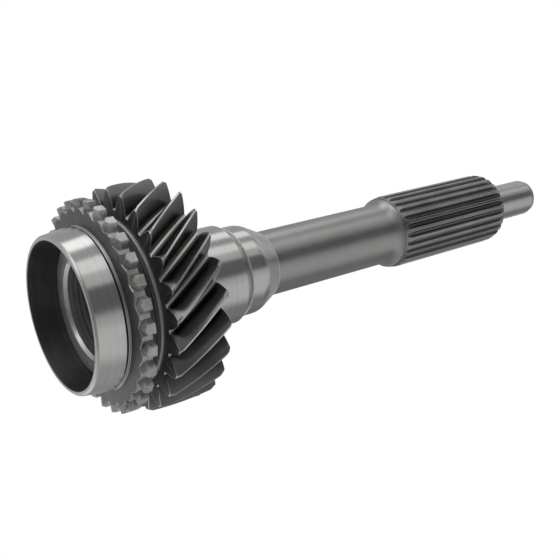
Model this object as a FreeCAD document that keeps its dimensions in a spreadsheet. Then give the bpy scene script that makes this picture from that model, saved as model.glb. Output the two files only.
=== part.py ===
# Transmission input shaft: one forging that carries a helical gear, two bearing steps, a clutch spline
# and a pilot nose, with a clutch ring (dog teeth and friction cone) pressed onto the hub in front of the gear.
# Millimetres. The shaft's axis is Z, the friction cone's rim lies on Z = 0 and the pilot nose points up.
import FreeCAD, Part
import Sketcher

import math
import os
import re

from FreeCAD import Placement, Vector

doc = FreeCAD.newDocument("TransmissionInputShaft")
sheet = doc.addObject("Spreadsheet::Sheet", "Sizes")

SIZES = {
    # Clutch ring: friction cone
    "cone_length": 9.3,
    "cone_base_radius": 27.2,
    "cone_taper_drop": 1.25,
    "cone_wall": 4.35,
    "rim_edge": 0.6,
    "relief_width": 0.6,
    "relief_depth": 1.1,
    "lip_width": 0.8,
    "lip_drop": 0.3,
    # Clutch ring: toothed plate
    "plate_thickness": 4.3,
    "plate_dish": 0.5,
    "dog_count": 30,
    "dog_tip_radius": 35.2,
    "dog_height": 2.55,
    "root_fall": 1.35,
    "dog_tip_width": 3.1,
    "dog_flank_angle": 20.0,
    "dog_point_angle": 61.0,
    "dog_setback": 0.75,
    # Hub that the ring is pressed on, and the bearing pocket in its face
    "floor_depth": 9.6,
    "seam_edge": 0.5,
    "pocket_radius": 16.5,
    "pocket_mouth": 1.0,
    "pocket_depth": 24.0,
    "relief_bore_radius": 11.0,
    "relief_bore_depth": 6.0,
    "drill_point_depth": 5.5,
    "collar_radius": 25.0,
    "collar_length": 5.4,
    # Helical gear
    "flange_radius": 28.05,
    "flange_thickness": 1.0,
    "gear_teeth": 24,
    "gear_face_width": 18.9,
    "gear_tip_radius": 37.4,
    "addendum_modules": 1.0465,
    "tooth_depth_modules": 2.2326,
    "gear_pressure_angle": 30.0,
    "gear_helix_angle": 35.8,
    "gear_phase": 3.0,
    "gear_tip_chamfer": 0.7,
    # Bearing steps and shaft
    "shoulder_radius": 21.5,
    "shoulder_width": 2.0,
    "journal_radius": 17.5,
    "journal_length": 18.3,
    "journal_edge": 0.5,
    "undercut_radius": 15.4,
    "undercut_width": 2.5,
    "step_radius": 16.0,
    "step_length": 7.5,
    "step_edge": 0.25,
    "step_round_drop": 0.75,
    "step_round_length": 2.0,
    "taper_end_radius": 12.1,
    "taper_length": 5.3,
    "shaft_radius": 11.75,
    "shaft_length": 54.9,
    # Flare and clutch spline
    "flare_length": 4.3,
    "flare_radius": 13.55,
    "flare_round": 6.2,
    "line_depth": 0.15,
    "line_width": 0.35,
    "lead_start_radius": 13.75,
    "lead_length": 2.6,
    "spline_teeth": 26,
    "spline_major_radius": 14.2875,
    "spline_minor_radius": 12.95,
    "spline_gap_at_major": 2.4,
    "spline_gap_at_minor": 0.87,
    "spline_runout_length": 1.7,
    "spline_phase": 2.2,
    "spline_cutter_radius": 8.0,
    "spline_length": 50.5,
    "spline_end_taper": 2.0,
    "spline_end_drop": 0.45,
    "spline_end_chamfer": 0.95,
    # Pilot nose
    "nose_radius": 7.5,
    "nose_length": 27.9,
    "nose_taper_length": 2.6,
    "nose_taper_drop": 0.65,
    "nose_edge": 0.5,
    "centre_radius": 2.4,
    "centre_depth": 4.2,
}

# Radii that follow from a neighbour's, then heights along the axis, each from the one below it
PLACES = {
    "ring_bore_radius": "cone_base_radius - cone_wall",
    "cone_rim_radius": "cone_base_radius - cone_taper_drop",
    "relief_radius": "cone_base_radius - relief_depth",
    "lip_radius": "cone_base_radius - lip_drop",
    "dog_root_radius": "dog_tip_radius - dog_height",
    "dog_foot_radius": "dog_root_radius - root_fall",
    "gear_module": "gear_tip_radius / (gear_teeth / 2 + addendum_modules)",
    "gear_pitch_radius": "gear_module * gear_teeth / 2",
    "gear_root_radius": "gear_tip_radius - gear_module * tooth_depth_modules",
    "relief_end": "cone_length + relief_width",
    "plate_front": "relief_end + lip_width",
    "plate_back": "plate_front + plate_thickness",
    "flange_front": "plate_back + collar_length",
    "gear_front": "flange_front + flange_thickness",
    "gear_back": "gear_front + gear_face_width",
    "shoulder_end": "gear_back + shoulder_width",
    "journal_end": "shoulder_end + journal_length",
    "step_start": "journal_end + undercut_width",
    "step_end": "step_start + step_length",
    "taper_start": "step_end + step_round_length",
    "taper_end": "taper_start + taper_length",
    "flare_start": "taper_end + shaft_length",
    "flare_end": "flare_start + flare_length",
    "lead_start": "flare_end + line_width",
    "lead_end": "lead_start + lead_length",
    "runout_end": "lead_end + spline_runout_length",
    "spline_taper": "runout_end + spline_length",
    "spline_chamfer": "spline_taper + spline_end_taper",
    "spline_end": "spline_chamfer + spline_end_chamfer",
    "nose_end": "spline_end + nose_length",
    "pocket_floor": "floor_depth + pocket_depth",
    "relief_floor": "pocket_floor + relief_bore_depth",
}

for row, (alias, size) in enumerate(SIZES.items(), start=1):
    sheet.set(f"A{row}", alias)
    sheet.set(f"B{row}", str(size))
    sheet.setAlias(f"B{row}", alias)
doc.recompute()


def bound(text):
    """The text with each size written as a cell of the sheet and each place spelled out in sizes."""
    def spell(word):
        name = word[0]
        if name in PLACES:
            return "(" + bound(PLACES[name]) + ")"
        return f"Sizes.{name}" if name in SIZES else name
    return re.sub(r"[a-z_]+", spell, text)


def value(text):
    """The number that a text of sizes and places stands for."""
    return float(sheet.evalExpression(bound(text)))


def make_body(name):
    body = doc.addObject("PartDesign::Body", name)
    body.Label = name
    body.Placement = Placement()
    return body


def origin_plane(body, role):
    return next(plane for plane in body.Origin.OriginFeatures if plane.Role == role)


def make_sketch(body, name, role, offset="0"):
    """An empty sketch on one of the body's origin planes, moved along the plane's normal."""
    sketch = body.newObject("Sketcher::SketchObject", name)
    sketch.AttachmentSupport = [(origin_plane(body, role), "")]
    sketch.MapMode = "FlatFace"
    sketch.setExpression(".AttachmentOffset.Base.z", bound(offset))
    return sketch


def bend(start, end, radius, side):
    """Arc of a given radius between two corners, with its centre left (1) or right (-1) of the way."""
    chord = end - start
    left = Vector(-chord.y, chord.x, 0).normalize() * side
    middle = (start + end) * 0.5
    centre = middle + left * math.sqrt(radius**2 - (chord.Length / 2) ** 2)
    return Part.Arc(start, centre - left * radius, end)


def draw_outline(sketch, corners):
    """Closed outline through corners, each tied to the sheet.

    A corner is (across, along), or (across, along, radius, side) where an arc leads to the next corner.
    """
    points = [Vector(value(corner[0]), value(corner[1]), 0) for corner in corners]
    count = len(corners)
    starts = []
    ends = []
    for index, corner in enumerate(corners):
        start, end = points[index], points[(index + 1) % count]
        if len(corner) == 4:
            edge = sketch.addGeometry(bend(start, end, value(corner[2]), corner[3]), False)
            turned = (sketch.getPoint(edge, 1) - start).Length > (sketch.getPoint(edge, 2) - start).Length
            radius = sketch.addConstraint(Sketcher.Constraint("Radius", edge, value(corner[2])))
            sketch.setExpression(f"Constraints[{radius}]", bound(corner[2]))
        else:
            edge = sketch.addGeometry(Part.LineSegment(start, end), False)
            turned = False
        starts.append((edge, 2 if turned else 1))
        ends.append((edge, 1 if turned else 2))
    for index in range(count):
        joined = (*ends[index - 1], *starts[index])
        sketch.addConstraint(Sketcher.Constraint("Coincident", *joined))
    for corner, start in zip(corners, starts):
        tie_point(sketch, start, "DistanceX", corner[0], -2)
        tie_point(sketch, start, "DistanceY", corner[1], -1)


def tie_point(sketch, point, kind, text, axis):
    """Hold a point at a distance from the sketch's origin, or on an axis where that distance is zero.

    The axis is -1 for the sketch's horizontal one and -2 for its vertical one.
    """
    if text == "0":
        sketch.addConstraint(Sketcher.Constraint("PointOnObject", *point, axis))
        return
    constraint = sketch.addConstraint(Sketcher.Constraint(kind, *point, value(text)))
    sketch.setExpression(f"Constraints[{constraint}]", bound(text))


def revolve(body, kind, name, corners):
    """Turn an outline of (radius, height) corners about the shaft's axis, to add or to cut."""
    sketch = make_sketch(body, f"{name}_outline", "XZ_Plane")
    draw_outline(sketch, corners)
    feature = body.newObject(f"PartDesign::{kind}", name)
    feature.Profile = sketch
    feature.ReferenceAxis = (sketch, ["V_Axis"])
    feature.Angle = 360
    return feature


def repeat_round(body, name, features, count):
    """Repeat features evenly round the shaft's axis."""
    pattern = body.newObject("PartDesign::PolarPattern", name)
    pattern.Originals = features
    pattern.Axis = (next(axis for axis in body.Origin.OriginFeatures if axis.Role == "Z_Axis"), [""])
    pattern.Angle = 360
    pattern.setExpression("Occurrences", bound(count))
    body.Tip = pattern
    return pattern


# Input shaft

def turn_shaft(body):
    """The lathe-turned blank with the hub, collar, flange, journals, flare, spline blank and nose."""
    revolve(body, "Revolution", "turned_blank", [
        ("0", "floor_depth"),
        ("ring_bore_radius - seam_edge", "floor_depth"),
        ("ring_bore_radius", "floor_depth + seam_edge"),
        ("ring_bore_radius", "plate_back"),
        ("collar_radius", "plate_back"),
        ("collar_radius", "flange_front"),
        ("flange_radius", "flange_front"),
        ("flange_radius", "gear_front"),
        ("gear_root_radius", "gear_front"),
        ("gear_root_radius", "gear_back"),
        ("shoulder_radius", "gear_back"),
        ("shoulder_radius", "shoulder_end"),
        ("journal_radius", "shoulder_end"),
        ("journal_radius", "journal_end - journal_edge"),
        ("journal_radius - journal_edge", "journal_end"),
        ("undercut_radius", "journal_end"),
        ("undercut_radius", "step_start"),
        ("step_radius - step_edge", "step_start"),
        ("step_radius", "step_start + step_edge"),
        ("step_radius", "step_end"),
        ("step_radius - step_round_drop", "taper_start"),
        ("taper_end_radius", "taper_end"),
        ("shaft_radius", "taper_end"),
        ("shaft_radius", "flare_start", "flare_round", -1),
        ("flare_radius", "flare_end"),
        ("flare_radius - line_depth", "flare_end + line_width / 2"),
        ("lead_start_radius", "lead_start"),
        ("spline_major_radius", "lead_end"),
        ("spline_major_radius", "spline_taper"),
        ("spline_major_radius - spline_end_drop", "spline_chamfer"),
        ("spline_major_radius - spline_end_drop - spline_end_chamfer", "spline_end"),
        ("nose_radius", "spline_end"),
        ("nose_radius", "nose_end - nose_taper_length"),
        ("nose_radius - nose_taper_drop", "nose_end - nose_edge"),
        ("nose_radius - nose_taper_drop - nose_edge", "nose_end"),
        ("centre_radius", "nose_end"),
        ("0", "nose_end - centre_depth"),
    ])


def involute(angle):
    return math.tan(angle) - angle


def polar(radius, angle):
    return Vector(radius * math.cos(angle), radius * math.sin(angle), 0)


def gear_outline():
    """Edges of the gear's section across the axis: tip lands, root lands, and flanks as two chords of an involute."""
    teeth = round(value("gear_teeth"))
    tip, root, pitch = value("gear_tip_radius"), value("gear_root_radius"), value("gear_pitch_radius")
    pressure_angle = math.radians(value("gear_pressure_angle"))
    base = pitch * math.cos(pressure_angle)

    def half_tooth(radius):
        """Half of the angle that a tooth fills at a radius."""
        return math.pi / (2 * teeth) + involute(pressure_angle) - involute(math.acos(base / radius))

    def flank(middle, side, radii):
        places = [polar(radius, middle + side * half_tooth(radius)) for radius in radii]
        return [Part.LineSegment(start, end) for start, end in zip(places, places[1:])]

    outward = [root, (root + tip) / 2, tip]
    turn = 2 * math.pi / teeth
    edges = []
    for tooth in range(teeth):
        middle = math.radians(value("gear_phase")) + tooth * turn
        gap = middle + turn / 2
        half_gap = turn / 2 - half_tooth(root)
        edges.extend(flank(middle, -1, outward))
        edges.append(Part.Arc(polar(tip, middle - half_tooth(tip)), polar(tip, middle),
                              polar(tip, middle + half_tooth(tip))))
        edges.extend(flank(middle, 1, outward[::-1]))
        edges.append(Part.Arc(polar(root, gap - half_gap), polar(root, gap), polar(root, gap + half_gap)))
    return edges


def cut_gear(body):
    """Left-hand helical teeth, swept along the axis, with the tips chamfered at both faces."""
    sketch = make_sketch(body, "tooth_outline", "XY_Plane", "gear_front")
    sketch.addGeometry(gear_outline(), False)
    doc.recompute()
    teeth = body.newObject("PartDesign::AdditiveHelix", "helical_teeth")
    teeth.Profile = sketch
    teeth.ReferenceAxis = (sketch, ["N_Axis"])
    teeth.Mode = "pitch-height-angle"
    teeth.LeftHanded = True
    teeth.setExpression("Pitch", bound("2 * pi * gear_pitch_radius / tan(gear_helix_angle)"))
    teeth.setExpression("Height", bound("gear_face_width"))
    inner = "gear_tip_radius - gear_tip_chamfer"
    outer = "gear_tip_radius + gear_tip_chamfer"
    revolve(body, "Groove", "front_chamfer", [
        (inner, "gear_front"),
        (outer, "gear_front"),
        (outer, "gear_front + 2 * gear_tip_chamfer"),
    ])
    revolve(body, "Groove", "back_chamfer", [
        (inner, "gear_back"),
        (outer, "gear_back - 2 * gear_tip_chamfer"),
        (outer, "gear_back"),
    ])


def bore_pocket(body):
    """The bearing pocket in the hub's face, with its relief bore and drill point, bored through the gear."""
    revolve(body, "Groove", "bearing_pocket", [
        ("0", "floor_depth"),
        ("pocket_radius + pocket_mouth", "floor_depth"),
        ("pocket_radius", "floor_depth + pocket_mouth"),
        ("pocket_radius", "pocket_floor"),
        ("relief_bore_radius", "pocket_floor"),
        ("relief_bore_radius", "relief_floor"),
        ("0", "relief_floor + drill_point_depth"),
    ])


def cut_spline(body):
    """Straight-sided clutch spline, with the cutter's round run-out towards the shaft."""
    depth = "(spline_major_radius - spline_minor_radius)"
    slope = f"((spline_gap_at_major - spline_gap_at_minor) / {depth})"
    top_width = f"(spline_gap_at_minor + {slope} * {depth} * 1.4)"
    top_radius = f"spline_minor_radius + {depth} * 1.4"
    sketch = make_sketch(body, "gap_outline", "XY_Plane", "runout_end")
    sketch.setExpression(".AttachmentOffset.Rotation.Angle", bound("spline_phase"))
    draw_outline(sketch, [
        ("spline_gap_at_minor / 2", "spline_minor_radius"),
        (f"{top_width} / 2", top_radius),
        (f"-{top_width} / 2", top_radius),
        ("-spline_gap_at_minor / 2", "spline_minor_radius"),
    ])
    axis_height = value("spline_minor_radius + spline_cutter_radius")
    axis = sketch.addGeometry(Part.LineSegment(Vector(-1, axis_height, 0), Vector(1, axis_height, 0)), True)
    sketch.addConstraint(Sketcher.Constraint("Horizontal", axis))
    tie_point(sketch, (axis, 1), "DistanceY", "spline_minor_radius + spline_cutter_radius", -1)
    gap = body.newObject("PartDesign::Pocket", "spline_gap")
    gap.Profile = sketch
    gap.Reversed = True
    gap.setExpression("Length", bound("spline_end - runout_end + spline_end_chamfer"))
    runout = body.newObject("PartDesign::Groove", "spline_runout")
    runout.Profile = sketch
    runout.ReferenceAxis = (sketch, ["Axis0"])
    runout.Angle = 90
    repeat_round(body, "spline_gaps", [gap, runout], "spline_teeth")


def make_input_shaft():
    body = make_body("input_shaft")
    turn_shaft(body)
    cut_gear(body)
    bore_pocket(body)
    cut_spline(body)
    return body


# Clutch ring

DOG_FRONT = "(plate_front + dog_setback)"
DISHED_FRONT = "(plate_front + plate_dish)"
HALF_PITCH = "(180 / dog_count)"


def add_dogs(body):
    """Dog teeth round a core that the ring swallows later: drafted flanks, and two bevels to a point."""
    revolve(body, "Revolution", "dog_core", [
        ("ring_bore_radius", DOG_FRONT),
        ("dog_foot_radius", DOG_FRONT),
        ("dog_foot_radius", "plate_back"),
        ("ring_bore_radius", "plate_back"),
    ])
    inner = "(dog_foot_radius - plate_dish)"
    half_width = f"(dog_tip_width / 2 + (dog_tip_radius - {inner}) * tan(dog_flank_angle))"
    section = make_sketch(body, "dog_section", "XY_Plane", "plate_back")
    draw_outline(section, [
        (inner, f"-{half_width}"),
        ("dog_tip_radius", "-dog_tip_width / 2"),
        ("dog_tip_radius", "dog_tip_width / 2"),
        (inner, half_width),
    ])
    dog = body.newObject("PartDesign::Pad", "dog")
    dog.Profile = section
    dog.Reversed = True
    dog.setExpression("Length", bound(f"plate_back - {DOG_FRONT}"))
    bevels = []
    for side, name in (("", "left_bevel"), ("-", "right_bevel")):
        sketch = make_sketch(body, f"{name}_outline", "YZ_Plane", "dog_foot_radius")
        draw_outline(sketch, [
            ("0", DOG_FRONT),
            (f"{side}{half_width}", f"{DOG_FRONT} + {half_width} / tan(dog_point_angle)"),
            (f"{side}{half_width}", f"{DOG_FRONT} - dog_setback"),
            ("0", f"{DOG_FRONT} - dog_setback"),
        ])
        bevel = body.newObject("PartDesign::Pocket", name)
        bevel.Profile = sketch
        bevel.Reversed = True
        bevel.setExpression("Length", bound("dog_tip_radius - dog_foot_radius + dog_setback"))
        bevels.append(bevel)
    repeat_round(body, "dogs", [dog, *bevels], "dog_count")


def add_roots(body):
    """The rim between the dogs: a low crest half way, falling to the foot of the dog on either side."""
    section = make_sketch(body, "root_section", "XY_Plane", "plate_back")
    section.setExpression(".AttachmentOffset.Rotation.Angle", bound(HALF_PITCH))
    draw_outline(section, [
        ("dog_root_radius", "0"),
        (f"dog_foot_radius * cos({HALF_PITCH})", f"dog_foot_radius * sin({HALF_PITCH})"),
        ("dog_foot_radius - root_fall", "0"),
        (f"dog_foot_radius * cos({HALF_PITCH})", f"-dog_foot_radius * sin({HALF_PITCH})"),
    ])
    root = body.newObject("PartDesign::Pad", "root")
    root.Profile = section
    root.Reversed = True
    root.setExpression("Length", bound(f"plate_back - {DISHED_FRONT}"))
    repeat_round(body, "roots", [root], "dog_count")


def turn_ring(body):
    """The turned form of the ring: friction cone, grinding relief, lip and dished plate."""
    revolve(body, "Revolution", "ring_blank", [
        ("ring_bore_radius", "0"),
        ("cone_rim_radius - rim_edge", "0"),
        ("cone_rim_radius", "rim_edge"),
        ("cone_base_radius", "cone_length"),
        ("relief_radius", "cone_length"),
        ("relief_radius", "relief_end"),
        ("lip_radius", "relief_end"),
        ("lip_radius", "plate_front"),
        ("dog_foot_radius + root_fall / 8", DISHED_FRONT),
        ("dog_foot_radius + root_fall / 8", "plate_back"),
        ("ring_bore_radius", "plate_back"),
    ])


def make_clutch_ring():
    body = make_body("clutch_ring")
    add_dogs(body)
    add_roots(body)
    turn_ring(body)
    return body


sub_parts = [make_input_shaft(), make_clutch_ring()]
doc.recompute()

failed = [item.Name for item in doc.Objects if {"Invalid", "Error"} & set(item.State)]
if failed:
    raise RuntimeError(f"failed objects: {failed}")
os.makedirs("parts", exist_ok=True)
for sub_part in sub_parts:
    shape = sub_part.Shape
    if shape.isNull() or not shape.isValid() or len(shape.Solids) != 1:
        raise RuntimeError(f"{sub_part.Label} is not one valid solid")
    shape.exportStep(f"parts/{sub_part.Label}.step")
    print(sub_part.Label, "volume", round(shape.Volume), "faces", len(shape.Faces), shape.BoundBox)
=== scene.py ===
"""Studio scene of a transmission input shaft: turned, ground and blasted steel on a plain pale floor.

Lengths in the tables are millimetres, as on the part's drawing, and MM turns them into metres.
"""

import math

import bmesh
import bpy
import numpy as np
from mathutils import Matrix, Vector


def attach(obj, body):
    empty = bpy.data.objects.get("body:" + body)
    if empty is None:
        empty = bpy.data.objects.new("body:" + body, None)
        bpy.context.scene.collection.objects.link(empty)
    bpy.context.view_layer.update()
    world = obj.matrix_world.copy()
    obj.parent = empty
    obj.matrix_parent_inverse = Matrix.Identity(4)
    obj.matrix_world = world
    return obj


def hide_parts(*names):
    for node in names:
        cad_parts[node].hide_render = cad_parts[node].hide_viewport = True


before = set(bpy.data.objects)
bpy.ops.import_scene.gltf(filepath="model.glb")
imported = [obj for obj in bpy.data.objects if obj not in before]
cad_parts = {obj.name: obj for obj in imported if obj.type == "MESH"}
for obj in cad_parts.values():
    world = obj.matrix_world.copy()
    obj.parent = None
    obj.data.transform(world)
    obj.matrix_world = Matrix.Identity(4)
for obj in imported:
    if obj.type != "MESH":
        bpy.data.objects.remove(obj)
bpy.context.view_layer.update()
scene = bpy.context.scene

MM = 0.001

# Heights along the shaft's axis, from the friction cone's rim up to the end of the nose
CONE_END = 9.3
FLOOR = 9.6
RELIEF_END = 9.9
PLATE_FRONT = 10.7
PLATE_BACK = 15.0
FLANGE_FRONT = 20.4
GEAR_FRONT = 21.4
GEAR_BACK = 40.3
SHOULDER_END = 42.3
JOURNAL_END = 60.6
STEP_START = 63.1
TAPER_START = 69.8
TAPER_EDGE = 77.2
TAPER_END = 77.6
FLARE_START = 132.8
FLARE_END = 137.1
LEAD_START = 137.45
LEAD_END = 140.05
RUNOUT_END = 141.75
SPLINE_TAPER = 192.25
SPLINE_CHAMFER = 194.25
SPLINE_END = 195.2
NOSE_TAPER = 220.5
NOSE_END = 223.1
POCKET_END = 33.6
RELIEF_BORE_END = 39.6
DRILL_POINT = 45.1
CENTRE_POINT = 218.9

# Radii
RING_BORE = 22.85
MOUTH = 24.3
CONE_RIM = 25.95
CONE_BASE = 27.2
RELIEF = 26.1
LIP = 26.9
DOG_ROOT = 32.65
DOG_FOOT = 31.3
DOG_TIP = 35.2
RELIEF_BORE = 11.0
POCKET = 16.5
COLLAR = 25.0
FLANGE = 28.05
GEAR_ROOT = 31.0
GEAR_PITCH = 34.4
GEAR_TIP = 37.4
SHOULDER = 21.5
JOURNAL = 17.5
UNDERCUT = 15.4
STEP = 16.0
TAPER_FOOT = 12.1
SHAFT = 11.75
FLARE_TOP = 13.55
FLARE_ROUND = 6.2
LEAD_FOOT = 13.75
SPLINE_MAJOR = 14.2875
SPLINE_MINOR = 12.95
NOSE = 7.5
CENTRE_HOLE = 2.4

# Chamfers and small drops of the turned forms
RIM_EDGE = 0.6
POCKET_CHAMFER = 1.0
HUB_CHAMFER = 0.5
JOURNAL_CHAMFER = 0.2
STEP_CHAMFER = 0.4
TAPER_DROP = 0.1
GROOVE_DEPTH = 0.15
GROOVE_WIDTH = 0.17
NOSE_DROP = 0.65
NOSE_CHAMFER = 0.5

# How far a hidden end of a turned form runs into the steel beside it
OVERLAP = 0.5
DEEP_OVERLAP = 1.0
LEAD_OVERLAP = 0.1
END_OVERLAP = 0.4
LEAD_RISE = 0.02

# Helical gear
TEETH = 24
PRESSURE_ANGLE = math.radians(30)
HELIX_ANGLE = math.radians(35.8)
GEAR_PHASE = math.radians(3)
TIP_CHAMFER = 0.7
CHAMFER_SLOPE = 2.0
TIP_ROUND = 0.13
ROOT_FILLET = 0.8
FACE_ROUND = 0.28
TIP_INSET = 0.7
FLANK_POINTS = 11
GEAR_ROWS = 24
EDGE_ROWS = 5
ROW_GAP = 0.1
LAND_COLUMNS = 3
WEAR_MARGIN = 0.01
ROOT_INSET = 0.2
FACE_OVERLAP = 0.3

# Dog teeth
DOGS = 30
DOG_TIP_WIDTH = 3.1
DOG_FLANK = math.radians(20)
DOG_POINT = math.radians(61)
DOG_SETBACK = 0.75
DOG_EDGE = 0.14
DOG_LARGE_FACE = 0.8
DOG_BACK_GAP = 0.02
PLATE_DISH = 0.5
RIM_CHAMFER = 0.22
RIM_BLEND = 0.3
ROOT_LAND = 0.75
LAND_MARGIN = 0.03
FULLY_OUT = 0.9

# Spline
SPLINE_TEETH = 26
GAP_AT_MAJOR = 2.4
GAP_AT_MINOR = 0.87
SPLINE_PHASE = math.radians(92.2)
CUTTER = 8.0
SPLINE_DROP = 0.45
SPLINE_CHAMFER_DROP = 0.95
SPLINE_FACE_EDGE = SPLINE_MAJOR - SPLINE_DROP - SPLINE_CHAMFER_DROP - END_OVERLAP
SPLINE_EDGE_COLUMNS = slice(7, 9)
GAP_FILLET = 0.3
GAP_BRINK = 0.2
GAP_FLOOR_SHARE = 0.6
NO_GAP = 99.0
LEAST_EDGE = 1e-3
BISECTIONS = 40

# Fineness of the meshes
ROUND_SEGMENTS = 256
NOSE_SEGMENTS = 160
ROUND_STEPS = 3
FLARE_STEPS = 10
RUNOUT_ROWS = 36
STRAIGHT_ROWS = 6
TAPER_ROWS = 5
CHAMFER_ROWS = 8
LONGEST_TRIM = 0.45
STRAIGHT_TRIM = 0.05
STRAIGHT_TURN = 1e-4
ON_AXIS = 1e-6
WORN_TURN = 0.3
UV_SCALE = 0.01


# Mesh work

def turned(vector, angle):
    """A plane vector turned by an angle."""
    c, s = math.cos(angle), math.sin(angle)
    return np.array([vector[0] * c - vector[1] * s, vector[0] * s + vector[1] * c])


def outline(corners):
    """Points, outward normals, finishes and wear along an outline that has the steel on its left.

    A corner holds its radius, height, rounding and finish. It is rounded in a few steps, or stays one
    smooth point where its rounding is 0. Its finish is that of the run after it. A fifth entry says how
    bright the corner has worn; without it a corner that turns outwards is fully worn.
    """
    steps = ROUND_STEPS
    places = np.array([corner[:2] for corner in corners], float)
    runs = places[1:] - places[:-1]
    lengths = np.hypot(runs[:, 0], runs[:, 1])
    ways = runs / lengths[:, None]
    outward = np.stack([ways[:, 1], -ways[:, 0]], 1)
    points, normals, finishes, wear = [places[0]], [outward[0]], [], [0.0]
    for i in range(1, len(corners) - 1):
        into, out = ways[i - 1], ways[i]
        cross = into[0] * out[1] - into[1] * out[0]
        turn = math.atan2(cross, float(into @ out))
        if corners[i][2] == 0:
            points.append(places[i])
            middle = outward[i - 1] + outward[i]
            normals.append(middle / np.linalg.norm(middle))
            finishes.append(corners[i - 1][3])
            wear.append(0.0)
            continue
        if abs(turn) < STRAIGHT_TURN:
            short = STRAIGHT_TRIM * min(lengths[i - 1], lengths[i])
            for step in range(steps + 1):
                points.append(places[i] + (2 * step / steps - 1) * short * into)
                normals.append(outward[i])
                finishes.append(corners[i - 1][3])
                wear.append(0.0)
            continue
        worn = corners[i][4] if len(corners[i]) > 4 else 1.0
        half = math.tan(abs(turn) / 2)
        trim = min(corners[i][2] * half, LONGEST_TRIM * lengths[i - 1], LONGEST_TRIM * lengths[i])
        start = places[i] - into * trim
        radius = trim / half
        centre = start + radius * math.copysign(1, turn) * np.array([-into[1], into[0]])
        for step in range(steps + 1):
            angle = turn * step / steps
            points.append(centre + turned(start - centre, angle))
            normals.append(turned(outward[i - 1], angle))
            finishes.append(corners[i - 1][3])
            wear.append(worn if turn > WORN_TURN and 0 < step < steps else 0.0)
    points.append(places[-1])
    normals.append(outward[-1])
    finishes.append(corners[-2][3])
    wear.append(0.0)
    return np.array(points), np.array(normals), finishes, np.array(wear)


class Form:
    """A mesh put together from grids that run round the shaft's axis."""

    def __init__(self):
        self.points, self.normals, self.wear = [], [], []
        self.faces, self.finishes, self.uvs = [], [], []
        self.count = 0

    def put(self, points, normals, wear):
        """Add points, and give the index of the first."""
        first = self.count
        self.points.append(points.reshape(-1, 3))
        self.normals.append(normals.reshape(-1, 3))
        self.wear.append(np.broadcast_to(wear, points.shape[:-1]).reshape(-1))
        self.count += points.size // 3
        return first

    def grid(self, points, finishes, wear, normals=None):
        """Join rows of points that close round the axis.

        finishes has an entry for each band between two rows, or for each face of the band.
        """
        if normals is None:
            normals = soft_normals(points)
        rows, columns = points.shape[:2]
        index = self.put(points, normals, wear) + np.arange(rows * columns).reshape(rows, columns)
        after = np.roll(index, -1, axis=1)
        quads = np.stack([index[:-1], after[:-1], after[1:], index[1:]], -1).reshape(-1, 4)
        steps = np.linalg.norm(np.diff(points, axis=0), axis=-1).mean(1)
        along = np.concatenate([[0], np.cumsum(steps)]) * UV_SCALE
        u = np.broadcast_to(np.arange(columns) / columns, (rows - 1, columns))
        low = np.broadcast_to(along[:-1, None], (rows - 1, columns))
        high = np.broadcast_to(along[1:, None], (rows - 1, columns))
        corners = [(u, low), (u + 1 / columns, low), (u + 1 / columns, high), (u, high)]
        self.uvs.extend(np.stack([np.stack(c, -1) for c in corners], -2).reshape(-1, 2).tolist())
        self.faces.extend(quads.tolist())
        bands = np.asarray(finishes)
        if bands.ndim == 1:
            bands = np.repeat(bands, columns)
        self.finishes.extend(bands.reshape(-1).tolist())

    def lathe(self, corners, segments=ROUND_SEGMENTS):
        """Turn an outline about the axis. A first or last corner on the axis closes in a fan."""
        points, normals, finishes, wear = outline(corners)
        angles = 2 * math.pi * np.arange(segments) / segments
        c, s = np.cos(angles), np.sin(angles)
        starts, ends = points[0, 0] < ON_AXIS, points[-1, 0] < ON_AXIS
        keep = slice(1 if starts else 0, -1 if ends else None)

        def spun(values):
            heights = np.repeat(values[:, 1:], segments, 1)
            return np.stack([values[:, :1] * c, values[:, :1] * s, heights], -1)

        body, turned_normals = spun(points[keep]), spun(normals[keep])
        bands = finishes[1 if starts else 0: len(finishes) - (1 if ends else 0)]
        first = self.count
        self.grid(body, bands, wear[keep][:, None], turned_normals)
        if starts:
            self.fan(points[0], normals[0], first + np.arange(segments), finishes[0], False)
        if ends:
            last = first + body.shape[0] * segments - segments
            self.fan(points[-1], normals[-1], last + np.arange(segments), finishes[-1], True)

    def fan(self, place, normal, ring, finish, upper):
        """Close a ring of points to one on the axis."""
        facing = np.array([[0, 0, math.copysign(1, normal[1])]])
        tip = self.put(np.array([[0, 0, place[1]]], float), facing, 0.0)
        after = np.roll(ring, -1)
        for a, b in zip(ring.tolist(), after.tolist()):
            self.faces.append([a, b, tip] if upper else [b, a, tip])
            self.uvs.extend([(0.0, 0.0), (UV_SCALE, 0.0), (0.0, UV_SCALE)])
            self.finishes.append(finish)

    def piece(self, name, materials):
        """Make the object of the form, riding on the root body."""
        mesh = bpy.data.meshes.new(name)
        mesh.from_pydata((np.concatenate(self.points) * MM).tolist(), [], self.faces)
        mesh.polygons.foreach_set("use_smooth", [True] * len(self.faces))
        mesh.polygons.foreach_set("material_index", self.finishes)
        for material in materials:
            mesh.materials.append(material)
        layer = mesh.uv_layers.new(name="round_axis")
        layer.data.foreach_set("uv", np.array(self.uvs, np.float32).ravel())
        worn = mesh.attributes.new("wear", "FLOAT", "POINT")
        worn.data.foreach_set("value", np.concatenate(self.wear).astype(np.float32))
        mesh.update()
        mesh.normals_split_custom_set_from_vertices(np.concatenate(self.normals).tolist())
        obj = bpy.data.objects.new(name, mesh)
        scene.collection.objects.link(obj)
        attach(obj, "root")
        return obj


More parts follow.
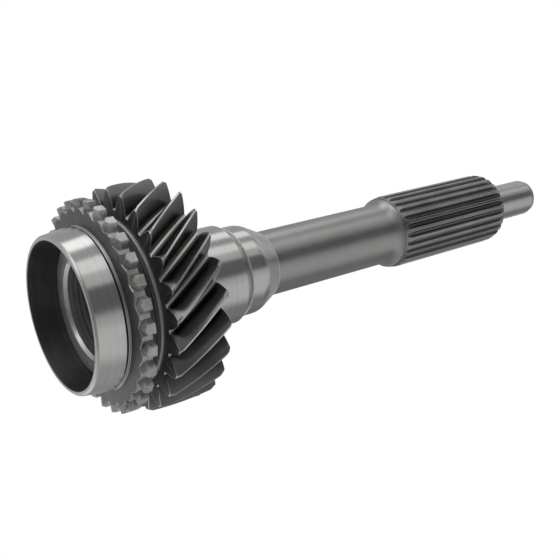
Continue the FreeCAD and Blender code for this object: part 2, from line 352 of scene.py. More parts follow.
def soft_normals(points):
    """Normals of a grid that closes round the axis, each face counting by its area."""
    nxt = np.roll(points, -1, axis=1)
    area = np.cross(nxt[1:] - points[:-1], points[1:] - nxt[:-1])
    total = np.zeros_like(points)
    total[:-1] += area
    total[1:] += area
    shifted = np.roll(area, 1, axis=1)
    total[:-1] += shifted
    total[1:] += shifted
    return total / np.maximum(np.linalg.norm(total, axis=-1, keepdims=True), 1e-12)


# Finishes

# How far turning lines are drawn out round the axis, the width of the fine lines, how many times wider
# the bands in the tone are, the size of its clouds, and the turn that lays brushed gloss across lines
LINE_STRETCH = 0.02
MARK_SIZE = 0.12
WIDE_LINES = 9
CLOUD_SIZE = 9
GLOSS_TURN = 0.25
TONE_RANGE = (0.36, 0.64)
ROUGH_RANGE = (0.3, 0.7)
ROUGH_SPREAD = 0.08
PATCH_RANGE = (0.3, 0.6)
PATCH_LEAST = 0.6


def link(tree, source, target):
    tree.links.new(source, target)


def maths(tree, operation, first, second=None):
    node = tree.nodes.new("ShaderNodeMath")
    node.operation = operation
    for socket, value in zip(node.inputs, (first, second)):
        if isinstance(value, (int, float)):
            socket.default_value = value
        elif value is not None:
            link(tree, value, socket)
    return node.outputs[0]


def spread(tree, value, low, high, to_low, to_high):
    node = tree.nodes.new("ShaderNodeMapRange")
    link(tree, value, node.inputs["Value"])
    for name, number in (("From Min", low), ("From Max", high), ("To Min", to_low), ("To Max", to_high)):
        node.inputs[name].default_value = number
    return node.outputs[0]


def noise(tree, vector, scale, detail=3.0, roughness=0.55):
    node = tree.nodes.new("ShaderNodeTexNoise")
    node.inputs["Scale"].default_value = scale
    node.inputs["Detail"].default_value = detail
    node.inputs["Roughness"].default_value = roughness
    link(tree, vector, node.inputs["Vector"])
    return node.outputs["Fac"]


def blend_colours(tree, factor, first, second):
    node = tree.nodes.new("ShaderNodeMix")
    node.data_type = "RGBA"
    for socket, value in ((node.inputs[0], factor), (node.inputs[6], first), (node.inputs[7], second)):
        if isinstance(value, (int, float)):
            socket.default_value = value
        elif isinstance(value, tuple):
            socket.default_value = (*value, 1)
        else:
            link(tree, value, socket)
    return node.outputs[2]


def steel(name, dark, light, rough, brushed=0.0, marks=0.0, grain=0.0, grain_size=0.25, edge=None,
          blotch=0.5, painted_root_shade=None, metallic=1.0):
    """Bare steel, its colour clouded between dark and light.

    marks is the depth of the turning or grinding lines, grain that of a blasted surface, and edge the
    colour of worn edges. blotch is the share of large clouds in the tone. painted_root_shade gives the
    radius below which the colour is darkened as painted shade, that above which it is full, and the dark
    level.
    """
    material = bpy.data.materials.new(name)
    material.use_nodes = True
    tree = material.node_tree
    shader = tree.nodes["Principled BSDF"]
    shader.inputs["Metallic"].default_value = metallic
    place = tree.nodes.new("ShaderNodeTexCoord").outputs["Object"]
    split = tree.nodes.new("ShaderNodeSeparateXYZ")
    link(tree, place, split.inputs[0])
    x, y, z = split.outputs
    squares = maths(tree, "ADD", maths(tree, "MULTIPLY", x, x), maths(tree, "MULTIPLY", y, y))
    radius = maths(tree, "SQRT", squares)
    lines = tree.nodes.new("ShaderNodeCombineXYZ")
    link(tree, maths(tree, "MULTIPLY", x, LINE_STRETCH), lines.inputs[0])
    link(tree, maths(tree, "MULTIPLY", y, LINE_STRETCH), lines.inputs[1])
    link(tree, maths(tree, "ADD", z, radius), lines.inputs[2])
    fine = noise(tree, lines.outputs[0], 1 / (MARK_SIZE * MM))
    wide = noise(tree, lines.outputs[0], 1 / (MARK_SIZE * WIDE_LINES * MM), detail=2.0)
    speckle = noise(tree, place, 1 / (grain_size * MM), roughness=0.65)
    clouds = noise(tree, place, 1 / (CLOUD_SIZE * MM))
    tone = maths(tree, "ADD", maths(tree, "MULTIPLY", clouds, blotch),
                 maths(tree, "MULTIPLY", wide if marks else speckle, 1 - blotch))
    colour = blend_colours(tree, spread(tree, tone, *TONE_RANGE, 0, 1), dark, light)
    # Painted shade: below a radius the colour darkens towards the axis, standing in for the shade in
    # tooth roots and spline gaps.
    if painted_root_shade:
        colour = blend_colours(tree, spread(tree, radius, painted_root_shade[0] * MM, painted_root_shade[1] * MM, 0, 1),
                               (painted_root_shade[2], painted_root_shade[2], painted_root_shade[2]), colour)
    if edge:
        worn = tree.nodes.new("ShaderNodeAttribute")
        worn.attribute_name = "wear"
        patchy = spread(tree, speckle, *PATCH_RANGE, PATCH_LEAST, 1)
        colour = blend_colours(tree, maths(tree, "MULTIPLY", worn.outputs["Fac"], patchy), colour, edge)
    link(tree, colour, shader.inputs["Base Color"])
    roughness = spread(tree, tone, *ROUGH_RANGE, rough * (1 - ROUGH_SPREAD), rough * (1 + ROUGH_SPREAD))
    link(tree, roughness, shader.inputs["Roughness"])
    if brushed:
        shader.inputs["Anisotropic"].default_value = brushed
        shader.inputs["Anisotropic Rotation"].default_value = GLOSS_TURN
        tangent = tree.nodes.new("ShaderNodeTangent")
        tangent.direction_type = "UV_MAP"
        tangent.uv_map = "round_axis"
        link(tree, tangent.outputs[0], shader.inputs["Tangent"])
    bump = tree.nodes.new("ShaderNodeBump")
    bump.inputs["Strength"].default_value = 1.0
    bump.inputs["Distance"].default_value = (marks or grain) * MM
    link(tree, fine if marks else speckle, bump.inputs["Height"])
    link(tree, bump.outputs[0], shader.inputs["Normal"])
    return material


GROUND, TURNED, SATIN, RECESS_SHADE, HUB, BLACK, FLANK, ROOT_HIGHLIGHT, SPLINE, EDGE, FINE, FLANGE_RIM, BORE = range(13)
FINISHES = [
    steel("ground_steel", (0.53, 0.527, 0.52), (0.58, 0.577, 0.57), 0.2, brushed=0.6, marks=0.00025,
          edge=(0.75, 0.74, 0.72)),
    steel("turned_steel", (0.34, 0.337, 0.333), (0.40, 0.397, 0.393), 0.32, brushed=0.6, marks=0.001,
          edge=(0.75, 0.74, 0.72)),
    steel("satin_steel", (0.37, 0.367, 0.362), (0.41, 0.407, 0.402), 0.38, brushed=0.6, marks=0.0005,
          edge=(0.6, 0.59, 0.57)),
    # The dark finish of the hollows, bores and grooves is painted shade.
    steel("recess_painted_shade", (0.085, 0.085, 0.085), (0.12, 0.12, 0.12), 0.5, brushed=0.3, marks=0.001,
          edge=(0.6, 0.59, 0.57)),
    steel("hub_face_steel", (0.42, 0.42, 0.415), (0.72, 0.72, 0.715), 0.42, brushed=0.6, marks=0.003,
          edge=(0.75, 0.74, 0.72)),
    steel("black_steel", (0.10, 0.10, 0.10), (0.16, 0.16, 0.158), 0.45, grain=0.003, blotch=0.9,
          edge=(0.5, 0.49, 0.475), metallic=0.7),
    # The gear flanks darken towards the tooth roots as painted shade.
    steel("flank_steel", (0.22, 0.219, 0.217), (0.28, 0.278, 0.275), 0.26, grain=0.0004, grain_size=0.5,
          blotch=0.95, edge=(0.5, 0.492, 0.48), painted_root_shade=(31.0, 38.0, 0.09)),
    # The root lands between the gear teeth are painted bright and warm as a painted highlight.
    steel("root_painted_highlight", (0.50, 0.485, 0.455), (0.62, 0.605, 0.57), 0.35, grain=0.003,
          edge=(0.8, 0.79, 0.77)),
    # The spline darkens towards the gap floors as painted shade.
    steel("spline_steel", (0.27, 0.268, 0.265), (0.35, 0.347, 0.342), 0.28, grain=0.0003, grain_size=0.5,
          blotch=0.95, edge=(0.8, 0.79, 0.77), painted_root_shade=(12.8, 14.2, 0.11)),
    steel("edge_steel", (0.50, 0.495, 0.485), (0.60, 0.595, 0.585), 0.25, brushed=0.5, marks=0.0006),
    steel("fine_steel", (0.50, 0.497, 0.49), (0.55, 0.547, 0.54), 0.26, brushed=0.6, marks=0.0002,
          edge=(0.6, 0.59, 0.57)),
    steel("flange_steel", (0.66, 0.655, 0.645), (0.74, 0.735, 0.725), 0.6, grain=0.002),
    steel("bore_steel", (0.26, 0.26, 0.257), (0.68, 0.675, 0.665), 0.3, brushed=0.6, marks=0.003,
          metallic=0.68, blotch=0.3),
]
BLASTED = steel("blasted_steel", (0.34, 0.337, 0.33), (0.74, 0.735, 0.72), 0.5, grain=0.06,
                grain_size=0.45, edge=(0.6, 0.595, 0.585))
PLATE = steel("plate_steel", (0.15, 0.15, 0.148), (0.22, 0.22, 0.217), 0.5, grain=0.006,
              edge=(0.5, 0.495, 0.485))
LIP_BEAD = steel("lip_steel", (0.55, 0.547, 0.54), (0.64, 0.637, 0.63), 0.33, brushed=0.5, marks=0.0005)
RING_FINISHES = [FINISHES[GROUND], FINISHES[TURNED], FINISHES[RECESS_SHADE], BLASTED, FINISHES[EDGE], PLATE,
                 LIP_BEAD]
RING_GROUND, RING_TURNED, RING_RECESS_SHADE, RING_BLASTED, RING_EDGE, RING_FACE, RING_LIP = range(7)


# Clutch ring

def one_dog():
    """Points, normals, wear and faces of the dog tooth on +X.

    Its flanks are drafted, and two bevels meet in a ridge towards the friction cone.
    """
    inner = DOG_FOOT - OVERLAP
    wide = DOG_TIP_WIDTH / 2 + (DOG_TIP - inner) * math.tan(DOG_FLANK)
    narrow = DOG_TIP_WIDTH / 2
    ridge = PLATE_FRONT + DOG_SETBACK
    back = PLATE_BACK - DOG_BACK_GAP
    slope = 1 / math.tan(DOG_POINT)
    shape = bmesh.new()
    ends = []
    for across, half in ((inner, wide), (DOG_TIP, narrow)):
        ends.append([shape.verts.new(place) for place in (
            (across, -half, back), (across, -half, ridge + half * slope), (across, 0, ridge),
            (across, half, ridge + half * slope), (across, half, back))])
    for i in range(len(ends[0])):
        j = (i + 1) % len(ends[0])
        shape.faces.new((ends[0][i], ends[0][j], ends[1][j], ends[1][i]))
    shape.faces.new(ends[1])
    shape.faces.new(ends[0][::-1])
    bmesh.ops.recalc_face_normals(shape, faces=shape.faces)
    outer = [edge for edge in shape.edges if any(vert in ends[1] for vert in edge.verts)]
    bmesh.ops.bevel(shape, geom=outer, offset=DOG_EDGE, segments=ROUND_STEPS, profile=0.5,
                    affect="EDGES")
    shape.normal_update()
    large = {face for face in shape.faces if face.calc_area() > DOG_LARGE_FACE}
    points, normals, wear = [], [], []
    for vert in shape.verts:
        total = sum((face.normal * face.calc_area() for face in vert.link_faces), Vector())
        points.append(vert.co[:])
        normals.append(total.normalized()[:])
        wear.append(0.0 if any(face in large for face in vert.link_faces) else 1.0)
    shape.verts.index_update()
    faces = [[vert.index for vert in face.verts] for face in shape.faces]
    shape.free()
    return np.array(points), np.array(normals), np.array(wear), faces


def rim_radius(angle):
    """Radius of the plate's rim: a flat land midway between two dogs, falling straight to their feet."""
    pitch = 2 * math.pi / DOGS
    past = np.abs((angle / pitch) % 1 - 0.5) * pitch
    corner = (DOG_ROOT, ROOT_LAND)
    foot = (DOG_FOOT * math.cos(pitch / 2), DOG_FOOT * math.sin(pitch / 2))
    fall = (corner[0] * foot[1] - corner[1] * foot[0]) / (
        (foot[1] - corner[1]) * np.cos(past) + (corner[0] - foot[0]) * np.sin(past))
    return np.minimum(DOG_ROOT / np.cos(past), fall)


def ring_body(form):
    """The ring, turned about the axis, with its outer corners moved out to the rim between the dogs."""
    rim_front = PLATE_FRONT + PLATE_DISH
    # The ring's bore, recess wall, cone step and relief groove take the painted shade finish.
    points, normals, finishes, wear = outline([
        (RING_BORE, PLATE_BACK, 0, RING_RECESS_SHADE),
        (RING_BORE, FLOOR, 3.0, RING_RECESS_SHADE),
        (MOUTH, 0, 0.16, RING_EDGE, 0.0),
        (CONE_RIM - RIM_EDGE, 0, 0.5, RING_EDGE, 0.0),
        (CONE_RIM, RIM_EDGE, 0.5, RING_GROUND, 0.0),
        (CONE_BASE, CONE_END, 0.2, RING_RECESS_SHADE, 0.0),
        (RELIEF, CONE_END, 0.15, RING_RECESS_SHADE),
        (RELIEF, RELIEF_END, 0.15, RING_LIP),
        (LIP, RELIEF_END, 0.55, RING_LIP, 0.0),
        (LIP, PLATE_FRONT, 0.2, RING_FACE),
        (DOG_FOOT - RIM_CHAMFER, rim_front, 0.08, RING_TURNED, 0.3),
        (DOG_FOOT, rim_front + RIM_CHAMFER, 0.08, RING_BLASTED, 0.3),
        (DOG_FOOT, PLATE_BACK, 0.2, RING_BLASTED),
        (RING_BORE, PLATE_BACK, 0, RING_RECESS_SHADE),
    ])
    pitch = 2 * math.pi / DOGS
    # Columns from a dog's middle to the middle of the rim, as shares of half a pitch, close together
    # beside the land's corner
    land = 1 - 2 * math.atan(ROOT_LAND / DOG_ROOT) / pitch
    share = np.array([0.0, 0.04, 0.3, 0.6, land - LAND_MARGIN, land + LAND_MARGIN])
    columns = np.concatenate([share / 2, [0.5], 1 - share[:0:-1] / 2]) * pitch
    angles = (columns[None, :] + pitch * np.arange(DOGS)[:, None]).reshape(-1)
    out = np.clip((points[:, :1] - (DOG_FOOT - RIM_CHAMFER - RIM_BLEND)) / RIM_BLEND, 0, 1)
    radius = points[:, :1] + out * (rim_radius(angles)[None, :] - DOG_FOOT)
    spun = np.stack([radius * np.cos(angles), radius * np.sin(angles),
                     np.repeat(points[:, 1:], len(angles), 1)], -1)
    around = np.stack([normals[:, :1] * np.cos(angles), normals[:, :1] * np.sin(angles),
                       np.repeat(normals[:, 1:], len(angles), 1)], -1)
    around = np.where(out[:, :, None] > FULLY_OUT, soft_normals(spun), around)
    form.grid(spun, finishes, wear[:, None], around)


def add_dogs(form):
    points, normals, wear, faces = one_dog()
    for number in range(DOGS):
        turn = np.array(Matrix.Rotation(2 * math.pi * number / DOGS, 3, "Z"))
        first = form.put(points @ turn.T, normals @ turn.T, wear)
        for face in faces:
            form.faces.append([first + corner for corner in face])
            form.finishes.append(RING_BLASTED)
            form.uvs.extend([(points[c][1] * UV_SCALE, points[c][2] * UV_SCALE) for c in face])


ring = Form()
ring_body(ring)
add_dogs(ring)
ring_piece = ring.piece("clutch_ring_finished", RING_FINISHES)
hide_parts("clutch_ring")


# Input shaft: turned forms

def flare_corners():
    """The concave flare, tangent to the shaft at its foot."""
    centre = np.array([SHAFT + FLARE_ROUND, FLARE_START])
    reach = math.acos(1 - (FLARE_TOP - SHAFT) / FLARE_ROUND)
    corners = []
    for step in range(1, FLARE_STEPS):
        angle = reach * step / FLARE_STEPS
        corners.append((centre[0] - FLARE_ROUND * math.cos(angle),
                        centre[1] + FLARE_ROUND * math.sin(angle), 0, SATIN))
    return corners


shaft = Form()
# The drill point, the relief bore and the hub's wall inside the ring take the painted shade finish.
shaft.lathe([
    (0, DRILL_POINT, 0, RECESS_SHADE),
    (RELIEF_BORE, RELIEF_BORE_END, 0.1, RECESS_SHADE),
    (RELIEF_BORE, POCKET_END, 0.3, TURNED),
    (POCKET, POCKET_END, 0.2, BORE),
    (POCKET, FLOOR + POCKET_CHAMFER, 0.15, EDGE),
    (POCKET + POCKET_CHAMFER, FLOOR, 0.2, HUB),
    (RING_BORE - HUB_CHAMFER, FLOOR, 0.2, EDGE),
    (RING_BORE, FLOOR + HUB_CHAMFER, 0.1, RECESS_SHADE),
    (RING_BORE, PLATE_BACK, 0, RECESS_SHADE),
])
# The collar in the gap between the ring and the gear is black as painted shade.
shaft.lathe([
    (RING_BORE - DEEP_OVERLAP, PLATE_BACK - DEEP_OVERLAP, 0, BLACK),
    (COLLAR, PLATE_BACK - DEEP_OVERLAP, 0, BLACK),
    (COLLAR, FLANGE_FRONT, 0.4, FLANGE_RIM),
    (FLANGE, FLANGE_FRONT, 0.85, FLANGE_RIM, 0.0),
    (FLANGE, GEAR_FRONT, 0, FLANGE_RIM),
])
shaft.lathe([
    (SHOULDER, GEAR_BACK - OVERLAP, 0, TURNED),
    (SHOULDER, SHOULDER_END, 0.4, TURNED),
    (JOURNAL, SHOULDER_END, 0.6, GROUND),
    (JOURNAL, JOURNAL_END - JOURNAL_CHAMFER, 0.15, EDGE, 0.0),
    (JOURNAL - JOURNAL_CHAMFER, JOURNAL_END, 0.1, TURNED, 0.0),
    (UNDERCUT, JOURNAL_END, 0.5, SATIN),
    (UNDERCUT, STEP_START, 0.5, FLANGE_RIM),
    (STEP - STEP_CHAMFER, STEP_START, 0.1, FLANGE_RIM, 0.0),
    (STEP, STEP_START + STEP_CHAMFER, 0.2, GROUND, 0.0),
    (STEP, TAPER_START, 7.0, GROUND, 0.0),
    (TAPER_FOOT + TAPER_DROP, TAPER_EDGE, 0.3, FLANGE_RIM),
    (TAPER_FOOT, TAPER_END, 0.1, EDGE),
    (SHAFT, TAPER_END, 0.25, SATIN),
    (SHAFT, FLARE_START, 0, SATIN),
    *flare_corners(),
    (FLARE_TOP, FLARE_END, 0.2, SATIN, 0.0),
    (FLARE_TOP - GROOVE_DEPTH, FLARE_END + GROOVE_WIDTH, 0.1, BLACK),
    (LEAD_FOOT, LEAD_START, 0.1, SATIN),
    (LEAD_FOOT + LEAD_RISE, LEAD_START + LEAD_OVERLAP, 0, SATIN),
])
shaft.lathe([
    (SPLINE_FACE_EDGE, SPLINE_END, 0, TURNED),
    (NOSE, SPLINE_END, 0.5, FINE),
    (NOSE, NOSE_TAPER, 0.4, SATIN),
    (NOSE - NOSE_DROP, NOSE_END - NOSE_CHAMFER, 0.3, SATIN),
    (NOSE - NOSE_DROP - NOSE_CHAMFER, NOSE_END, 0.2, TURNED),
    # The centre hole takes the painted shade finish.
    (CENTRE_HOLE, NOSE_END, 0.15, RECESS_SHADE),
    (0, CENTRE_POINT, 0, RECESS_SHADE),
], segments=NOSE_SEGMENTS)


# Input shaft: helical gear

def involute(angle):
    return math.tan(angle) - angle


def half_tooth(radius):
    """Half of the angle that a tooth fills at a radius."""
    base = GEAR_PITCH * math.cos(PRESSURE_ANGLE)
    return math.pi / (2 * TEETH) + involute(PRESSURE_ANGLE) - involute(math.acos(base / radius))


def tooth_section():
    """Points, normals and wear of half a tooth's section, from the tip's middle to the gap's."""
    flank = [(radius * math.cos(half_tooth(radius)), radius * math.sin(half_tooth(radius)))
             for radius in np.linspace(GEAR_TIP, GEAR_ROOT, FLANK_POINTS)]
    gap = math.pi / TEETH
    corners = [(GEAR_TIP, 0, 0, 0), (*flank[0], TIP_ROUND, 0)]
    corners += [(*place, 0, 0) for place in flank[1:-1]]
    corners.append((*flank[-1], ROOT_FILLET, 0))
    corners.append((GEAR_ROOT * math.cos(gap), GEAR_ROOT * math.sin(gap), 0, 0))
    points, normals, _, wear = outline(corners)
    return points, normals, wear


def gear_rows():
    """Rows of the gear from its front face to its back face, and the wear of their points.

    A row holds the radii and angles of one tooth's points, the twist and the height. The last value is
    the number of points from the middle of the tip to the middle of the gap.
    """
    section, outward, worn = tooth_section()
    section = np.concatenate([section, section[1:-1][::-1] * [1, -1]])
    outward = np.concatenate([outward, outward[1:-1][::-1] * [1, -1]])
    worn = np.concatenate([worn, worn[1:-1][::-1]])
    half = (len(section) + 2) // 2
    width = GEAR_BACK - GEAR_FRONT
    bend = np.linspace(0, math.pi / 2, EDGE_ROWS)
    rounded = [(FACE_ROUND * (1 - math.cos(a)), FACE_ROUND * (1 - math.sin(a))) for a in bend]
    chamfer = TIP_CHAMFER * CHAMFER_SLOPE
    flat = [depth for depth in np.linspace(FACE_ROUND, width - FACE_ROUND, GEAR_ROWS)[1:-1]
            if chamfer + ROW_GAP < depth < width - chamfer - ROW_GAP]
    places = rounded + [(depth, 0.0) for depth in (chamfer, *flat, width - chamfer)]
    places += [(width - depth, inset) for depth, inset in rounded[::-1]]
    rows, wears = [], []
    for depth, inset in places:
        edge = min(depth, width - depth)
        limit = GEAR_TIP - max(0.0, TIP_CHAMFER - edge / CHAMFER_SLOPE) - inset * TIP_INSET
        moved = section - outward * inset
        radius = np.minimum(np.hypot(moved[:, 0], moved[:, 1]), limit)
        angle = np.arctan2(moved[:, 1], moved[:, 0])
        angle[:half] = np.maximum.accumulate(angle[:half])
        angle[half:] = 2 * math.pi / TEETH - angle[1:half - 1][::-1]
        twist = GEAR_PHASE - depth * math.tan(HELIX_ANGLE) / GEAR_PITCH
        rows.append((radius, angle, twist, GEAR_FRONT + depth))
        on_rounding = WEAR_MARGIN < edge < FACE_ROUND - WEAR_MARGIN
        wears.append(np.maximum(worn, 1.0 if on_rounding else 0.0))
    return rows, wears, half


def round_row(height_row, radius):
    """A row at the same angles and height, moved to one radius."""
    moved = height_row.copy()
    moved[:, :2] *= (radius / np.hypot(height_row[:, 0], height_row[:, 1]))[:, None]
    return moved


def polar_row(radius, angle, height):
    """A row round the axis from the radii of one tooth's points and the angles of every tooth's."""
    radius = np.broadcast_to(radius, angle.shape)
    return np.stack([radius * np.cos(angle), radius * np.sin(angle), np.full(angle.shape, height)],
                    -1).reshape(-1, 3)


def gear_grid():
    """The gear's teeth with both end faces, closed down to the flange and the shoulder."""
    rows, wears, half = gear_rows()
    turns = 2 * math.pi * np.arange(TEETH)[:, None] / TEETH
    points = np.array([polar_row(radius, angle[None, :] + turns + twist, height)
                       for radius, angle, twist, height in rows])
    inner = GEAR_ROOT - FACE_ROUND - ROOT_INSET
    front = [round_row(points[0], FLANGE - FACE_OVERLAP), round_row(points[0], inner)]
    back = [round_row(points[-1], inner), round_row(points[-1], SHOULDER - FACE_OVERLAP)]
    points = np.concatenate([front, points, back])
    order = np.arange(len(wears[0]))
    plain = np.zeros(len(order))
    wear = np.tile(np.array([plain, plain, *wears, plain, plain]), (1, TEETH))
    bands = np.full((len(points) - 1, len(order)), FLANK)
    bands[:2] = BLACK
    bands[-2:] = BLACK
    # The columns round each gap's middle take the root lands' painted highlight.
    bands[2:-2, np.abs(order - (half - 1)) <= LAND_COLUMNS] = ROOT_HIGHLIGHT
    bands[2:-2, (order < LAND_COLUMNS) | (order >= len(order) - LAND_COLUMNS)] = EDGE
    shaft.grid(points, np.tile(bands, (1, TEETH)), wear)


gear_grid()


# Input shaft: clutch spline

def blank_radius(height):
    """Radius of the spline's turned blank."""
    heights = [LEAD_START, LEAD_END, SPLINE_TAPER, SPLINE_CHAMFER, SPLINE_END]
    radii = [LEAD_FOOT, SPLINE_MAJOR, SPLINE_MAJOR, SPLINE_MAJOR - SPLINE_DROP,
             SPLINE_MAJOR - SPLINE_DROP - SPLINE_CHAMFER_DROP]
    return float(np.interp(height, heights, radii))


def gap_height(offset, height):
    """Height of a gap's floor or side above the axis, at an offset from the gap's middle."""
    rise = (SPLINE_MAJOR - SPLINE_MINOR) / (GAP_AT_MAJOR - GAP_AT_MINOR) * 2
    level = SPLINE_MINOR + max(0.0, offset - GAP_AT_MINOR / 2) * rise
    if height >= RUNOUT_END:
        return level
    centre = SPLINE_MINOR + CUTTER
    left = (centre - level) ** 2 - (RUNOUT_END - height) ** 2
    return centre - math.sqrt(left) if left > 0 and level < centre else NO_GAP


def gap_edge(height):
    """Offset at which a gap's side meets the blank, or zero where the gap hasn't begun."""
    limit = blank_radius(height)
    if gap_height(0, height) >= limit:
        return 0.0
    low, high = 0.0, GAP_AT_MAJOR
    for _ in range(BISECTIONS):
        middle = (low + high) / 2
        if math.hypot(middle, gap_height(middle, height)) < limit:
            low = middle
        else:
            high = middle
    return low


def spline_row(height):
    """Half a pitch of the section at a height, from the gap's middle to the land's middle."""
    limit = blank_radius(height)
    edge = gap_edge(height)
    pitch = math.pi / SPLINE_TEETH
    start = math.asin(min(1, max(edge, LEAST_EDGE) / limit))
    land = [(limit * math.sin(a), limit * math.cos(a)) for a in np.linspace(start, pitch, 4)]
    corner = min(GAP_AT_MINOR / 2, edge * GAP_FLOOR_SHARE)
    if edge > 0:
        gap = [(offset, gap_height(offset, height)) for offset in (0, corner, (corner + edge) / 2)]
    else:
        gap = [(LEAST_EDGE * share, limit) for share in (0, 0.3, 0.6)]
    rounding = [0, GAP_FILLET, 0, GAP_BRINK, 0, 0, 0]
    return outline([(*place, bend, 0) for place, bend in zip(gap + land, rounding)])[0]


def spline_grid():
    """The spline from its lead over the run-outs and the straight gaps to its tapered, chamfered end."""
    runout = np.linspace(LEAD_START, RUNOUT_END, RUNOUT_ROWS)
    straight = np.linspace(RUNOUT_END, SPLINE_TAPER, STRAIGHT_ROWS)[1:]
    taper = np.linspace(SPLINE_TAPER, SPLINE_CHAMFER, TAPER_ROWS)[1:]
    chamfer = np.linspace(SPLINE_CHAMFER, SPLINE_END, CHAMFER_ROWS)[1:]
    points, wears = [], []
    turns = 2 * math.pi * np.arange(SPLINE_TEETH)[:, None] / SPLINE_TEETH
    for height in [*runout, *straight, *taper, *chamfer]:
        half = spline_row(height)
        radius = np.hypot(half[:, 0], half[:, 1])
        angle = np.arctan2(half[:, 0], half[:, 1])
        radius = np.concatenate([radius, radius[1:-1][::-1]])
        angle = np.concatenate([angle, 2 * math.pi / SPLINE_TEETH - angle[1:-1][::-1]])
        points.append(polar_row(radius, angle[None, :] + turns + SPLINE_PHASE, height))
        worn = np.zeros(len(half))
        worn[SPLINE_EDGE_COLUMNS] = 1.0 if LEAD_END < height else 0.0
        wears.append(np.tile(np.concatenate([worn, worn[1:-1][::-1]]), SPLINE_TEETH))
    shaft.grid(np.array(points), [SPLINE] * (len(points) - 1), np.array(wears))


spline_grid()
shaft_piece = shaft.piece("input_shaft_finished", FINISHES)
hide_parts("input_shaft")


# Studio: floor, cards, lamps, world

def light_path(tree):
    return tree.nodes.new("ShaderNodeLightPath").outputs


# Cards of a light tent round the part: start and end azimuth in degrees, softness of the sides, and the
# strength below the part, low down, half way up, high up and overhead
CARDS = {
    "back": (40, 80, 6, 0.90, 0.33, 0.18, 0.38, 0.40),
    "left": (80, 164, 2, 0.54, 0.45, 0.44, 0.52, 0.45),
    "strip_left": (164, 186, 2, 0.90, 1.60, 1.20, 0.55, 0.90),
    "between": (186, 205, 2, 1.80, 0.40, 0.40, 0.38, 0.35),
    "strip_front": (205, 226, 2, 0.35, 1.10, 1.00, 0.66, 0.80),
    "front": (226, 245, 2, 0.35, 0.62, 0.56, 0.38, 0.45),
    "dark": (245, 279, 2, 0.20, 0.14, 0.15, 0.12, 0.20),
    "softbox_edge": (279, 300, 8, 0.30, 0.52, 0.54, 0.52, 0.40),
    "softbox": (300, 340, 3, 0.35, 0.70, 0.64, 0.64, 0.60),
    "softbox_fall": (340, 400, 18, 0.50, 0.42, 0.25, 0.20, 0.35),
}
# Heights in metres, each with the place of its strength in a card's list
CARD_HEIGHTS = [(-1.0, 0), (-0.12, 0), (0.04, 1), (0.42, 1), (0.5, 2), (0.72, 2), (0.9, 3), (1.25, 3),
                (1.6, 4), (2.1, 4)]
CARD_DISTANCE = 0.9
CARD_COLUMNS = 240
LID_STRENGTH = 0.3
BASE_STRENGTH = 0.18


def light_tent():
    """The cards with a lid and a base, as one glowing mesh that the camera doesn't see."""
    marks, strengths = [], []
    for start, end, soft, *levels in CARDS.values():
        marks += [start + soft, end - soft]
        strengths += [levels, levels]
    columns = CARD_COLUMNS
    azimuth = np.arange(columns) * 360 / columns
    around = [np.interp(azimuth, marks, column, period=360) for column in zip(*strengths)]
    x = CARD_DISTANCE * np.cos(np.radians(azimuth))
    y = CARD_DISTANCE * np.sin(np.radians(azimuth))
    points = [np.stack([x, y, np.full(columns, height)], -1) for height, _ in CARD_HEIGHTS]
    levels = [around[zone] for _, zone in CARD_HEIGHTS]
    rows = len(CARD_HEIGHTS)
    index = np.arange(rows * columns).reshape(rows, columns)
    after = np.roll(index, -1, axis=1)
    faces = np.stack([index[:-1], after[:-1], after[1:], index[1:]], -1).reshape(-1, 4).tolist()
    for row, centre in ((0, rows * columns), (rows - 1, rows * columns + 1)):
        faces += [[int(a), int(b), centre] for a, b in zip(index[row], after[row])]
    ends = [[0, 0, CARD_HEIGHTS[0][0]], [0, 0, CARD_HEIGHTS[-1][0]]]
    mesh = bpy.data.meshes.new("light_tent")
    mesh.from_pydata(np.concatenate([*points, np.array(ends)]).tolist(), [], faces)
    level = mesh.attributes.new("level", "FLOAT", "POINT")
    shown_levels = np.concatenate([*levels, [BASE_STRENGTH, LID_STRENGTH]])
    level.data.foreach_set("value", shown_levels.astype(np.float32))
    material = bpy.data.materials.new("light_tent")
    material.use_nodes = True
    tree = material.node_tree
    tree.nodes.clear()
    shine = tree.nodes.new("ShaderNodeEmission")
    shown = tree.nodes.new("ShaderNodeAttribute")
    shown.attribute_name = "level"
    link(tree, shown.outputs["Fac"], shine.inputs["Strength"])
    link(tree, shine.outputs[0], tree.nodes.new("ShaderNodeOutputMaterial").inputs["Surface"])
    mesh.materials.append(material)
    obj = bpy.data.objects.new("light_tent", mesh)
    obj.visible_camera = False
    obj.visible_shadow = False
    scene.collection.objects.link(obj)


light_tent()

WORLD_FILL = 0.7


def studio_world():
    """White where it is seen, reflected or seen through, and a soft fill for the rest."""
    world = bpy.data.worlds.new("studio")
    scene.world = world
    world.use_nodes = True
    tree = world.node_tree
    background = tree.nodes["Background"]
    path = light_path(tree)
    reflected = maths(tree, "MAXIMUM", path["Is Glossy Ray"], path["Is Transmission Ray"])
    seen = maths(tree, "MAXIMUM", path["Is Camera Ray"], reflected)
    link(tree, spread(tree, seen, 0, 1, WORLD_FILL, 1.0), background.inputs["Strength"])
    background.inputs["Color"].default_value = (1, 1, 1, 1)


studio_world()

FLOOR_RADIUS = 3.0
FLOOR_SIDES = 96
FLOOR_DROP = 0.0002
PAPER = (0.93, 0.93, 0.93, 1)
PAPER_END = 0.08
WHITE_START = 0.30


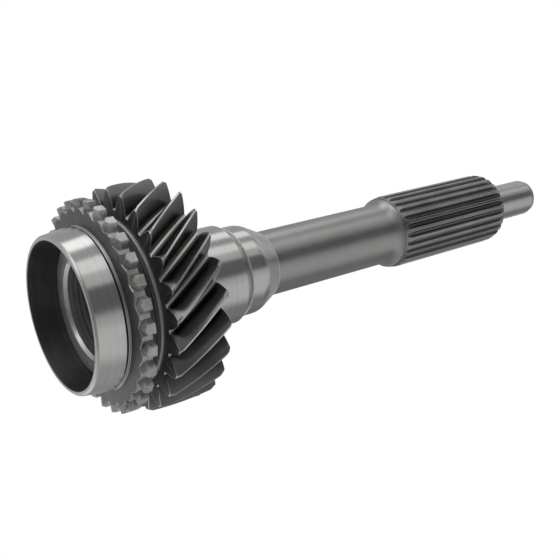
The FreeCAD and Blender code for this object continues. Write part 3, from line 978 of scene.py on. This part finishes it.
def floor_material():
    """White from above with the part's shadow, fading to plain white; nothing from below."""
    material = bpy.data.materials.new("pale_floor")
    material.use_nodes = True
    tree = material.node_tree
    tree.nodes.clear()
    output = tree.nodes.new("ShaderNodeOutputMaterial")
    clear = tree.nodes.new("ShaderNodeBsdfTransparent")
    paper = tree.nodes.new("ShaderNodeBsdfDiffuse")
    paper.inputs["Color"].default_value = PAPER
    glow = tree.nodes.new("ShaderNodeEmission")
    place = tree.nodes.new("ShaderNodeTexCoord").outputs["Object"]
    length = tree.nodes.new("ShaderNodeVectorMath")
    length.operation = "LENGTH"
    link(tree, place, length.inputs[0])
    fade = spread(tree, length.outputs["Value"], PAPER_END, WHITE_START, 0.0, 1.0)
    surface = tree.nodes.new("ShaderNodeMixShader")
    link(tree, fade, surface.inputs[0])
    link(tree, paper.outputs[0], surface.inputs[1])
    link(tree, glow.outputs[0], surface.inputs[2])
    path = light_path(tree)
    facing = tree.nodes.new("ShaderNodeNewGeometry").outputs["Backfacing"]
    shown = maths(tree, "MULTIPLY", path["Is Camera Ray"], maths(tree, "SUBTRACT", 1.0, facing))
    both = tree.nodes.new("ShaderNodeMixShader")
    link(tree, shown, both.inputs[0])
    link(tree, clear.outputs[0], both.inputs[1])
    link(tree, surface.outputs[0], both.inputs[2])
    link(tree, both.outputs[0], output.inputs["Surface"])
    return material


def floor():
    mesh = bpy.data.meshes.new("floor")
    angles = [2 * math.pi * side / FLOOR_SIDES for side in range(FLOOR_SIDES)]
    mesh.from_pydata([(FLOOR_RADIUS * math.cos(a), FLOOR_RADIUS * math.sin(a), 0) for a in angles],
                     [], [list(range(FLOOR_SIDES))])
    mesh.materials.append(floor_material())
    obj = bpy.data.objects.new("floor", mesh)
    obj.location = (0, 0, -FLOOR_DROP)
    scene.collection.objects.link(obj)


floor()

LAMP_PLACE = Vector((-0.35, 0.1, 0.85))
LAMP_TARGET = Vector((0, 0, 0.1))
LAMP_WATTS = 6.0
LAMP_SIZE = 0.5


def top_lamp():
    """A soft lamp above, left out of reflections, which show the tent in its place."""
    data = bpy.data.lights.new("top_lamp", "AREA")
    data.energy = LAMP_WATTS
    data.size = LAMP_SIZE
    obj = bpy.data.objects.new("top_lamp", data)
    obj.location = LAMP_PLACE
    obj.rotation_euler = (LAMP_TARGET - LAMP_PLACE).to_track_quat("-Z", "Y").to_euler()
    obj.visible_camera = False
    obj.visible_glossy = False
    scene.collection.objects.link(obj)


top_lamp()


# Camera at the photograph's angle: from below the cone's end, looking up along the shaft
CAMERA_PLACE = Vector((0, -0.276770838, -0.10358841))
CAMERA_RIGHT = Vector((0.25146446, -0.54818896, 0.79765562))
CAMERA_UP = Vector((-0.9676249, -0.12397687, 0.2198449))
CAMERA_TURN = math.radians(1.0)
LENS = 58.994
SENSOR = 36
CLIP_START = 0.001
camera_data = bpy.data.cameras.new("camera")
camera_data.sensor_width = SENSOR
camera_data.lens = LENS
camera_data.clip_start = CLIP_START
camera = bpy.data.objects.new("camera", camera_data)
scene.collection.objects.link(camera)
back = CAMERA_RIGHT.cross(CAMERA_UP)
stand = Matrix((CAMERA_RIGHT, CAMERA_UP, back)).transposed().to_4x4()
stand.translation = CAMERA_PLACE
camera.matrix_world = Matrix.Rotation(CAMERA_TURN, 4, "Z") @ stand
scene.camera = camera

scene.view_settings.view_transform = "Standard"
